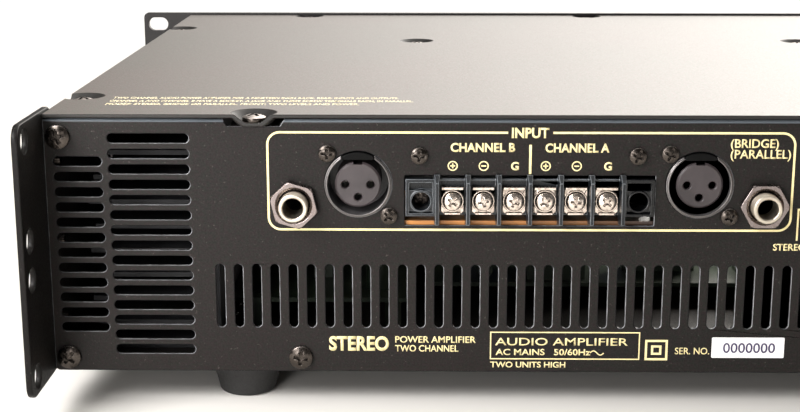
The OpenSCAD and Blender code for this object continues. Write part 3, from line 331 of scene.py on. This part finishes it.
MATS = {
    # painted highlight: the case is lighter where its upright face turns towards the top
    "case": powder_coat("case_paint", (0.0115, 0.0110, 0.0108), specular=0.13, bend_highlight=(0.10, 0.115, 0.13)),
    # the case's sheet edges: painted highlight where they face up and towards channel B's side
    "case_edge": rubbed_edge("case_edge", (0.008, 0.008, 0.009), (0.30, 0.31, 0.33)),
    "bracket": powder_coat("bracket_paint", (0.0045, 0.0045, 0.0043), rough=0.34, specular=0.11),
    # the cover's faces that do not look up are a darker, duller copy of its paint: painted shade
    "cover": powder_coat("cover_paint", (0.060, 0.054, 0.049), rough=0.37, specular=0.8, depth=0.03 * MM,
                         steep_shade=((0.020, 0.019, 0.018), 0.25)),
    # the cover's rounded edges: a darker copy of its paint, painted shade
    "cover_edge": powder_coat("cover_edge", (0.016, 0.016, 0.015), rough=0.4, specular=0.2),
    "front": powder_coat("panel_paint", (0.008, 0.0078, 0.0082), rough=0.38, specular=0.25,
                         depth=0.02 * MM),
    "zinc": metal("plated_steel", (0.55, 0.54, 0.51), rough=0.34),
    # painted highlight on the screws' faces that look up, and painted shade in their recesses
    "black_zinc": metal("black_screws", (0.070, 0.060, 0.053), rough=0.22, stain=(0.03, 0.023, 0.019),
                        dirt=0.35, patch=700.0, hollow_shade=0.95, top=(0.50, 0.45, 0.42)),
    "rubber": plastic("foot_rubber", (0.012, 0.0115, 0.0115), rough=0.68, grain=0.8 * MM, depth=0.04 * MM,
                      edge=0.05),
    # socket shells: their rims painted light, worn plating with a painted highlight
    "socket": socket_metal("socket_metal"),
    "insert": plastic("insert_plastic", (0.033, 0.026, 0.028), rough=0.42, grain=0.3 * MM, edge=0.12),
    # the sockets' rounded edges: lighter metal, worn plating with a painted highlight
    "socket_edge": metal("socket_edge", (0.20, 0.19, 0.19), rough=0.30),
    # the terminal block's rounded edges: a lighter copy of its plastic as a painted highlight, darkened by
    # painted shade towards channel A's end
    "terminal_edge": plastic("terminal_edge", (0.11, 0.12, 0.13), rough=0.3, edge=0.0,
                             fade=((0.008, 0.008, 0.009), 0.029, 0.025)),
    "latch": plastic("latch_plastic", (0.003, 0.003, 0.003), rough=0.5, edge=0.0, specular=0.08),
    "silver": metal("silver_contacts", (0.80, 0.78, 0.74), rough=0.22),
    "black_plastic": plastic("black_plastic", (0.016, 0.016, 0.017), rough=0.42),
    # painted shade in the nuts' corners and recesses
    "nickel": metal("nickel", (0.25, 0.215, 0.21), rough=0.19, stain=(0.26, 0.19, 0.16), dirt=0.5,
                    patch=900.0, hollow_shade=0.95),
    # painted shade in the corners and recesses of the terminal screws and plates
    "bright": metal("bright_steel", (0.80, 0.70, 0.62), rough=0.17, stain=(0.22, 0.15, 0.11), dirt=0.75,
                    patch=800.0, hollow_shade=0.8),
    # painted shade in the bushes' corners and recesses
    "bush": metal("bush_nickel", (0.62, 0.56, 0.47), rough=0.32, stain=(0.35, 0.28, 0.2), patch=900.0,
                  hollow_shade=0.8),
    # painted shade: the terminal block darkens to near black towards channel A's end
    "terminal": plastic("terminal_plastic", (0.008, 0.010, 0.0125), rough=0.30, edge=0.0, tone=0.25,
                        specular=0.35, fade=((0.002, 0.0025, 0.003), 0.029, 0.025)),
    # painted shade: the input board darkens from channel B's end towards channel A's end
    "brown_board": plastic("brown_board", (0.55, 0.23, 0.06), rough=0.35, tone=0.12, edge=0.0,
                           fade=((0.035, 0.018, 0.012), 0.085, 0.02)),
    "green_board": plastic("green_board", (0.014, 0.022, 0.012), rough=0.4, tone=0.25, edge=0.0),
    "post_black": plastic("post_black", (0.014, 0.014, 0.014), rough=0.28),
    "post_red": plastic("post_red", (0.42, 0.012, 0.012), rough=0.26, tone=0.15),
    "gold": metal("gold_brass", (0.87, 0.66, 0.30), rough=0.18, stain=(0.5, 0.33, 0.14)),
    "tape": plastic("winding_tape", (0.30, 0.20, 0.05), rough=0.3, tone=0.15, edge=0.0),
    "sleeve": plastic("capacitor_sleeve", (0.02, 0.03, 0.07), rough=0.25, tone=0.15),
    "anodised": plastic("anodised_heat_sink", (0.020, 0.020, 0.022), rough=0.6, edge=0.0, specular=0.3),
    "epoxy": plastic("device_epoxy", (0.018, 0.018, 0.019), rough=0.5),
    "lens": lens("lens_plastic"),
    "wire": plastic("wire_sleeve", (0.16, 0.035, 0.02), rough=0.45, edge=0.0),
    "ink": print_ink("cream_ink", (0.90, 0.77, 0.40)),
    "cover_ink": print_ink("cover_ink", (0.84, 0.75, 0.49)),
    "white_ink": print_ink("white_ink", (0.75, 0.75, 0.72)),
    "label": print_ink("label_paper", (0.93, 0.92, 0.93)),
    "label_ink": print_ink("label_ink", (0.045, 0.032, 0.10)),
}

TERMINALS = range(1, 7)
NODE_MATS = {
    "case": ["chassis_tray", "rear_panel"],
    "bracket": ["rear_bracket_left", "rear_bracket_right"],
    "cover": ["top_cover"],
    "front": ["front_panel"],
    "zinc": ["front_subpanel", "cross_brace", "input_bracket", "mode_switch_body", "level_pots",
             "transformer_clamp"],
    "black_zinc": ["case_screws", "connector_screws"],
    "rubber": ["rubber_feet"],
    "socket": ["xlr_shells"],
    "insert": ["xlr_inserts"],
    "latch": ["xlr_latch_a", "xlr_latch_b", "mode_switch_slider", "power_rocker"],
    "silver": ["xlr_contacts", "mains_inlet_pins"],
    "black_plastic": ["jack_bodies", "mains_inlet", "power_switch_body", "level_knob_a", "level_knob_b"],
    "nickel": ["jack_nuts"],
    "bush": ["jack_bushes"],
    "bright": (["terminal_contacts"] + [f"terminal_screw_{i}" for i in TERMINALS]
               + [f"clamp_plate_{i}" for i in TERMINALS]),
    "terminal": ["terminal_block"],
    "brown_board": ["input_board"],
    "green_board": ["power_supply_board", "amplifier_boards", "front_board"],
    "post_black": ["post_bases", "post_cap_a_minus", "post_cap_b_minus"],
    "post_red": ["post_cap_a_plus", "post_cap_b_plus"],
    "gold": ["post_studs"],
    "tape": ["toroidal_transformer"],
    "sleeve": ["filter_capacitors"],
    "anodised": ["heat_sinks"],
    "epoxy": ["output_transistors"],
    "lens": ["led_lenses"],
    "wire": ["wiring_harness"],
}
for key, names in NODE_MATS.items():
    for name in names:
        mesh = nodes[name].data
        mesh.materials.clear()
        mesh.materials.append(MATS[key])


# ---------- soft edges on the machined and moulded pieces ----------

# What shows on the rounded edges, where it differs from the faces: painted highlights on the case's, the
# sockets' and the terminal block's edges, and painted shade on the cover's edges
EDGE_MATS = {"rear_panel": "case_edge", "top_cover": "cover_edge", "chassis_tray": "case_edge",
             "xlr_shells": "socket_edge", "terminal_block": "terminal_edge"}


def soften(name, width):
    """Rounds a CAD node's sharp edges, once its triangles are joined and each flat face is one face."""
    piece = nodes[name]
    weld = piece.modifiers.new("weld", "WELD")
    weld.merge_threshold = 1e-6
    flat = piece.modifiers.new("flat", "DECIMATE")
    flat.decimate_type = "DISSOLVE"
    flat.angle_limit = math.radians(0.5)
    edge = piece.modifiers.new("edge", "BEVEL")
    edge.width = width
    edge.segments = 2
    edge.limit_method = "ANGLE"
    edge.angle_limit = math.radians(32)
    edge.use_clamp_overlap = False
    edge.miter_outer = "MITER_ARC"
    if name in EDGE_MATS:
        piece.data.materials.append(MATS[EDGE_MATS[name]])
        edge.material = 1


# Width of each rounded edge, in millimetres
SOFT_EDGES = {
    "top_cover": 0.3, "rear_panel": 0.24, "chassis_tray": 0.2, "front_panel": 0.4,
    "rear_bracket_left": 0.35, "rear_bracket_right": 0.35,
    "case_screws": 0.12, "connector_screws": 0.1, "xlr_shells": 0.16,
    "xlr_latch_a": 0.3, "xlr_latch_b": 0.3, "jack_nuts": 0.15, "jack_bushes": 0.12,
    "terminal_block": 0.2, "mains_inlet": 0.3, "post_bases": 0.3, "mode_switch_slider": 0.2,
    "power_switch_body": 0.3, "power_rocker": 0.3, "level_knob_a": 0.2, "level_knob_b": 0.2,
}
SOFT_EDGES.update({f"terminal_screw_{i}": 0.1 for i in TERMINALS})
SOFT_EDGES.update({f"clamp_plate_{i}": 0.12 for i in TERMINALS})
for name, width in SOFT_EDGES.items():
    soften(name, width * MM)


# ---------- printing ----------

# Each printed face: its right, up and outward directions, and a point on it
FACES = {
    "rear": ((-1, 0, 0), (0, 0, 1), (0, 1, 0), (0, REAR_Y, 0)),
    "front": ((1, 0, 0), (0, 0, 1), (0, -1, 0), (0, FRONT_Y, 0)),
    "top": ((-1, 0, 0), (0, -1, 0), (0, 0, 1), (0, 0, TOP_Z)),
}


def face_frame(side):
    """Matrix from (u right, v up, w out) in millimetres on a printed face to the shared frame."""
    matrix = Matrix.Identity(4)
    for i, axis in enumerate(FACES[side][:3]):
        matrix.col[i] = (*(Vector(axis) * MM), 0)
    matrix.col[3] = (*FACES[side][3], 1)
    return matrix


def finish_piece(piece, mat, body="chassis"):
    piece.data.materials.clear()
    piece.data.materials.append(MATS[mat])
    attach(piece, body)
    return piece


def text(name, words, u, v, height, side="rear", width=None, bold=0.0, mat="ink", align="LEFT", w=0.0):
    """Printed words with capitals height mm tall, and with their lower left corner or middle at u, v."""
    curve = bpy.data.curves.new(name, "FONT")
    curve.body = words
    curve.size = 1.0
    curve.align_x = "LEFT"
    curve.offset = bold
    curve.resolution_u = 4
    piece = bpy.data.objects.new(name, curve)
    scene.collection.objects.link(piece)
    bpy.context.view_layer.update()
    graph = bpy.context.evaluated_depsgraph_get()
    mesh = bpy.data.meshes.new_from_object(piece.evaluated_get(graph))
    bpy.data.objects.remove(piece)
    xs = [p.co.x for p in mesh.vertices]
    cap = CAP_HEIGHT if any(c.isalpha() for c in words) else max(p.co.y for p in mesh.vertices)
    sy = height / cap
    sx = sy if width is None else width / (max(xs) - min(xs))
    left = min(xs) if align == "LEFT" else (min(xs) + max(xs)) / 2
    from_left = Matrix.Diagonal((sx, sy, 1, 1)) @ Matrix.Translation((-left, 0, 0))
    return printed(name, mesh, Matrix.Translation((u, v, w)) @ from_left, side, mat)


def printed(name, mesh, place, side, mat):
    """Gives a flat mesh the thickness of ink and puts it on a face of the case."""
    bm = bmesh.new()
    bm.from_mesh(mesh)
    bmesh.ops.remove_doubles(bm, verts=bm.verts, dist=1e-5)
    bm.transform(face_frame(side) @ place)
    out = Vector(FACES[side][2])
    for face in bm.faces:
        if face.normal.dot(out) < 0:
            face.normal_flip()
    top = bmesh.ops.extrude_face_region(bm, geom=bm.faces[:])
    moved = [g for g in top["geom"] if isinstance(g, bmesh.types.BMVert)]
    bmesh.ops.translate(bm, verts=moved, vec=out * PRINT_T)
    bmesh.ops.recalc_face_normals(bm, faces=bm.faces)
    bm.to_mesh(mesh)
    bm.free()
    piece = bpy.data.objects.new(name, mesh)
    scene.collection.objects.link(piece)
    return finish_piece(piece, mat)


def arc(cu, cv, r, a0, a1, steps=8):
    return [
        (cu + r * math.cos(math.radians(a0 + (a1 - a0) * i / steps)),
         cv + r * math.sin(math.radians(a0 + (a1 - a0) * i / steps)))
        for i in range(steps + 1)
    ]


def stroke(name, points, width, side="rear", mat="ink", closed=False):
    """A printed line of even width through points."""
    bm = bmesh.new()
    count = len(points)
    pairs = []
    for i, p in enumerate(points):
        here = Vector(p)
        before = Vector(points[(i - 1) % count]) if closed or i else here
        after = Vector(points[(i + 1) % count]) if closed or i < count - 1 else here
        into = (here - before).normalized() if here != before else (after - here).normalized()
        out = (after - here).normalized() if after != here else into
        along = (into + out).normalized()
        side_way = Vector((-along.y, along.x))
        reach = width / 2 / max(0.3, along.dot(into))
        pairs.append([bm.verts.new((*(here + side_way * reach * s), 0)) for s in (1, -1)])
    for i in range(count if closed else count - 1):
        a, b = pairs[i], pairs[(i + 1) % count]
        bm.faces.new((a[0], a[1], b[1], b[0]))
    mesh = bpy.data.meshes.new(name)
    bm.to_mesh(mesh)
    bm.free()
    return printed(name, mesh, Matrix.Identity(4), side, mat)


def rounded_loop(u0, v0, u1, v1, r):
    """Corner points of a rounded rectangle, anticlockwise from its lower left."""
    return (arc(u0 + r, v0 + r, r, 180, 270) + arc(u1 - r, v0 + r, r, 270, 360)
            + arc(u1 - r, v1 - r, r, 0, 90) + arc(u0 + r, v1 - r, r, 90, 180))


def patch(name, points, mat):
    """A flat stuck-on area on the rear panel."""
    bm = bmesh.new()
    bm.faces.new([bm.verts.new((*p, 0)) for p in points])
    mesh = bpy.data.meshes.new(name)
    bm.to_mesh(mesh)
    bm.free()
    return printed(name, mesh, Matrix.Identity(4), "rear", mat)


# The frames round the inputs and round the outputs share their height, corners and line
FRAME_LOW, FRAME_HIGH = 4.9, 37.1
FRAME_R = 4.0
FRAME_LINE = 0.72


def print_input_section():
    """Frame with a gap for its heading, the channels' names, and the poles' signs above the terminals."""
    left, right = -142.6, 27.0
    gap_left, gap_right = -65.1, -50.6
    r = FRAME_R
    stroke("input_frame", (
        [(gap_left, FRAME_HIGH)]
        + arc(left + r, FRAME_HIGH - r, r, 90, 180)
        + arc(left + r, FRAME_LOW + r, r, 180, 270)
        + arc(right - r, FRAME_LOW + r, r, 270, 360)
        + arc(right - r, FRAME_HIGH - r, r, 0, 90)
        + [(gap_right, FRAME_HIGH)]
    ), FRAME_LINE)
    text("word_input", "INPUT", -63.9, 35.5, 3.3, width=12.0, bold=0.035)
    text("word_channel_b", "CHANNEL B", -83.5, 30.9, 2.9, width=20.8, bold=0.032)
    text("word_channel_a", "CHANNEL A", -53.0, 30.8, 2.9, width=20.6, bold=0.032)
    stroke("channel_divider", [(-57.8, 23.6), (-57.8, 33.2)], 0.8)
    pole_v = 26.2
    for i, plus_u in enumerate((-82.8, -52.8)):
        for j, u in enumerate((plus_u, plus_u + 10.0)):
            stroke(f"pole_ring_{i}_{j}", arc(u, pole_v, 1.45, 0, 360, 28)[:-1], 0.38, closed=True)
            stroke(f"pole_bar_{i}_{j}", [(u - 0.8, pole_v), (u + 0.8, pole_v)], 0.42)
        stroke(f"pole_upright_{i}", [(plus_u, pole_v - 0.8), (plus_u, pole_v + 0.8)], 0.42)
        text(f"ground_{i}", "G", plus_u + 18.8, 24.9, 2.7, bold=0.035)
    text("word_bridge", "(BRIDGE)", 6.4, 32.4, 2.9, width=15.4, bold=0.018)
    text("word_parallel", "(PARALLEL)", 6.5, 28.9, 2.9, width=19.4, bold=0.018)


def print_mode_switch():
    """The switch's three positions, each joined to it by a line."""
    text("word_stereo", "STEREO", 21.9, -1.7, 2.3, width=10.6, bold=0.02)
    text("word_mode_bridge", "BRIDGE", 40.6, 28.4, 2.3, width=10.6, bold=0.02)
    text("word_mode_parallel", "PARALLEL", 51.5, -1.7, 2.3, width=13.6, bold=0.02)
    text("word_mode", "MODE", 41.2, 33.0, 2.6, width=9.4, bold=0.02)
    stroke("mode_line_stereo", [(29.4, 1.6), (29.4, 12.0), (32.6, 12.0)], 0.6)
    stroke("mode_line_bridge", [(46.0, 22.4), (46.0, 27.4)], 0.6)
    stroke("mode_line_parallel", [(58.4, 1.6), (58.4, 12.0), (56.2, 12.0)], 0.6)


def print_outputs():
    """Frame and signs round the speaker posts, and the word over the mains inlet."""
    loop = rounded_loop(62.6, FRAME_LOW, 110.0, FRAME_HIGH, FRAME_R)
    stroke("output_frame", loop, FRAME_LINE, closed=True)
    text("word_speakers", "SPEAKERS", 77.8, 38.5, 2.6, width=17.0, bold=0.02)
    text("word_output_b", "B", 73.3, 33.2, 2.4, bold=0.015)
    text("word_output_a", "A", 92.3, 33.2, 2.4, bold=0.015)
    plus_v, minus_v = 29.5, 10.5
    half = 0.9
    line = 0.45
    for u, name in ((66.1, "left"), (102.7, "right")):
        stroke(f"output_plus_bar_{name}", [(u - half, plus_v), (u + half, plus_v)], line)
        stroke(f"output_plus_upright_{name}", [(u, plus_v - half), (u, plus_v + half)], line)
        stroke(f"output_minus_{name}", [(u - half, minus_v), (u + half, minus_v)], line)
    text("word_mains", "AC INPUT", 133.6, 34.0, 2.6, width=15.0, bold=0.02)


def print_rating():
    """The row of printing along the rear panel's lower edge, and the number's label."""
    text("word_stereo_mark", "STEREO", -123.4, -36.5, 4.9, width=19.9, bold=0.035)
    text("word_power_amplifier", "POWER AMPLIFIER", -101.4, -33.8, 2.3, width=26.8, bold=0.015)
    text("word_two_channel", "TWO CHANNEL", -101.4, -36.9, 2.3, width=21.0, bold=0.015)
    left, low, right, high = -69.7, -39.35, -20.4, -30.1
    stroke("rating_box", [(left, low), (right, low), (right, high), (left, high)], 0.4, closed=True)
    text("word_rating_top", "AUDIO AMPLIFIER", -68.2, -34.6, 2.7, width=44.1, bold=0.008)
    text("word_rating_low", "AC MAINS   50/60Hz", -68.0, -38.0, 2.2, width=31.5, bold=0.018)
    text("word_case_size", "TWO UNITS HIGH", left, -42.35, 2.05, width=25.0, bold=0.02)
    wave = [(-36.6 + i * 0.45, -37.2 + 0.75 * math.sin(i * math.pi / 5)) for i in range(11)]
    stroke("mains_wave", wave, 0.35)
    mid_u, mid_v = -14.7, -36.1
    for half, name in ((3.4, "outer"), (1.35, "inner")):
        rise = half * 0.94
        corners = [(mid_u - half, mid_v - rise), (mid_u + half, mid_v - rise),
                   (mid_u + half, mid_v + rise), (mid_u - half, mid_v + rise)]
        stroke(f"double_square_{name}", corners, 0.75, closed=True)
    text("word_number", "SER. NO.", -8.5, -37.5, 2.4, width=11.4, bold=0.008)
    patch("number_label", rounded_loop(3.6, -38.7, 27.6, -31.6, 0.4), "label")
    text("label_digits", "0000000", 7.4, -36.9, 3.4, width=17.2, bold=0.012, mat="label_ink", w=0.03)


COVER_LINES = (
    ("TWO CHANNEL AUDIO POWER AMPLIFIER FOR A NINETEEN INCH RACK. REAR: INPUTS AND OUTPUTS.", 97.7),
    ("CHANNEL A AND CHANNEL B HAVE A SOCKET, A JACK AND THREE SCREW TERMINALS EACH, IN PARALLEL.", 102.8),
    ("MODES: STEREO, BRIDGE OR PARALLEL. FRONT: TWO LEVELS AND POWER.", 84.8),
)


def print_cover():
    """Three long lines near the rear edge of the cover."""
    for i, (words, width) in enumerate(COVER_LINES):
        text(f"cover_line_{i}", words, -198.4, -281.2 - i * 6.4, 3.5, "top", width=width, bold=0.02,
             mat="cover_ink")


def front_text(name, words, u, v, height, bold=0.0):
    text(name, words, u, v, height, "front", align="MIDDLE", mat="white_ink", bold=bold)


def print_front():
    """Scales round the knobs, the lamps' names, and the power switch's positions."""
    number_r = 23.9
    number_height = 1.9
    for u, letter in ((70, "a"), (150, "b")):
        for step in range(11):
            a = math.radians(240 - 30 * step)
            inner, outer = 19.2, 21.4 if step % 5 == 0 else 20.6
            ends = [(u + r * math.cos(a), r * math.sin(a)) for r in (inner, outer)]
            stroke(f"scale_{letter}_{step}", ends, 0.45, "front", "white_ink")
            front_text(f"scale_number_{letter}_{step}", str(step), u + number_r * math.cos(a),
                       number_r * math.sin(a) - number_height / 2, number_height)
        front_text(f"level_word_{letter}", f"LEVEL {letter.upper()}", u, -32.5, 2.6, bold=0.01)
        for v, word in ((14, "CLIP"), (0, "SIGNAL"), (-14, "PROTECT")):
            front_text(f"led_word_{word.lower()}_{letter}", word, u - 34, v - 5.6, 1.6)
    front_text("power_word", "POWER", -178, 14.0, 2.4, bold=0.01)
    front_text("power_on", "ON", -190.5, 5.2, 1.8)
    front_text("power_off", "OFF", -190.8, -7.0, 1.8)
    front_text("front_word", "STEREO POWER AMPLIFIER", -60, -32.5, 3.0, bold=0.01)


print_input_section()
print_mode_switch()
print_outputs()
print_rating()
print_cover()
print_front()


# ---------- floor, light and camera ----------

FLOOR_Z = cad_box[0].z
FLOOR_SIZE = 24
FLOOR_COLOUR = (0.83, 0.81, 0.77)
WHITE = (1.0, 1.0, 1.0)


def pale_floor():
    """Pale floor that turns into plain white away from the object, so that no horizon shows."""
    bpy.ops.mesh.primitive_plane_add(size=FLOOR_SIZE, location=(0, 0, FLOOR_Z))
    plane = bpy.context.object
    plane.name = "floor"
    mat, tree, shader = new_material("floor")
    shader.inputs["Roughness"].default_value = 0.9
    length = tree.nodes.new("ShaderNodeVectorMath")
    length.operation = "LENGTH"
    tree.links.new(coords(tree), length.inputs[0])
    fade = ramp(tree, length.outputs["Value"], 0.0, 1.0, 0.4, 1.4)
    tree.links.new(mix(tree, fade, FLOOR_COLOUR, (0.0, 0.0, 0.0)), shader.inputs["Base Color"])
    shader.inputs["Emission Color"].default_value = (*WHITE, 1)
    tree.links.new(fade, shader.inputs["Emission Strength"])
    plane.data.materials.append(mat)


def studio_world():
    """White to the camera; to the object, bright ahead of it and at one side, and dim elsewhere."""
    world = bpy.data.worlds.new("studio")
    scene.world = world
    world.use_nodes = True
    tree = world.node_tree
    background = tree.nodes["Background"]
    direction = tree.nodes.new("ShaderNodeTexCoord").outputs["Generated"]
    split = tree.nodes.new("ShaderNodeSeparateXYZ")
    tree.links.new(direction, split.inputs[0])
    ahead = ramp(tree, split.outputs["Y"], 1.0, 0.0, -0.35, 0.20)
    across = ramp(tree, split.outputs["X"], 5.0, 0.05, -0.40, 0.28)
    glow = maths(tree, "ADD", 0.12, maths(tree, "MULTIPLY", ahead, across))
    seen = tree.nodes.new("ShaderNodeLightPath").outputs["Is Camera Ray"]
    unseen = maths(tree, "SUBTRACT", 1.0, seen)
    tree.links.new(mix(tree, seen, (1.0, 0.955, 0.90), WHITE), background.inputs[0])
    strength = maths(tree, "ADD", seen, maths(tree, "MULTIPLY", unseen, glow))
    tree.links.new(strength, background.inputs[1])


def area_light(name, place, target, size, power, colour):
    light = bpy.data.lights.new(name, "AREA")
    light.energy = power
    light.color = colour
    light.size = size
    lamp = bpy.data.objects.new(name, light)
    scene.collection.objects.link(lamp)
    lamp.visible_camera = False
    lamp.location = place
    lamp.rotation_euler = (Vector(target) - Vector(place)).to_track_quat("-Z", "Y").to_euler()


pale_floor()
studio_world()
area_light("key", (0.42, 0.62, 0.30), (0.10, 0.31, 0.0), 0.25, 4.3, (1.0, 0.98, 0.97))
area_light("sheen", (0.33, 0.80, 0.07), (0.17, 0.31, 0.0), 0.22, 0.7, (1.0, 0.97, 0.97))
area_light("low", (0.55, 1.50, 0.14), (0.10, 0.31, -0.03), 0.35, 4.5, (1.0, 0.98, 0.96))
# dim light in the case, for what shows through the vents
area_light("inside", (-0.02, 0.20, 0.012), (0.0, 0.31, -0.02), 0.04, 0.12, (1.0, 0.95, 0.88))
area_light("top", (0.30, 0.25, 1.30), (0.0, 0.2, 0.0), 1.2, 5, (1.0, 0.99, 0.97))

camera = bpy.data.objects.new("camera", bpy.data.cameras.new("camera"))
scene.collection.objects.link(camera)
camera.data.lens = 64.9
camera.data.sensor_width = 36
camera.location = (0.0940, 0.7682, 0.1210)
camera_direction = Vector((0.0124, -0.9730, -0.2307))
camera.rotation_mode = "QUATERNION"
camera.rotation_quaternion = camera_direction.to_track_quat("-Z", "Y")
scene.camera = camera
scene.view_settings.view_transform = "Standard"
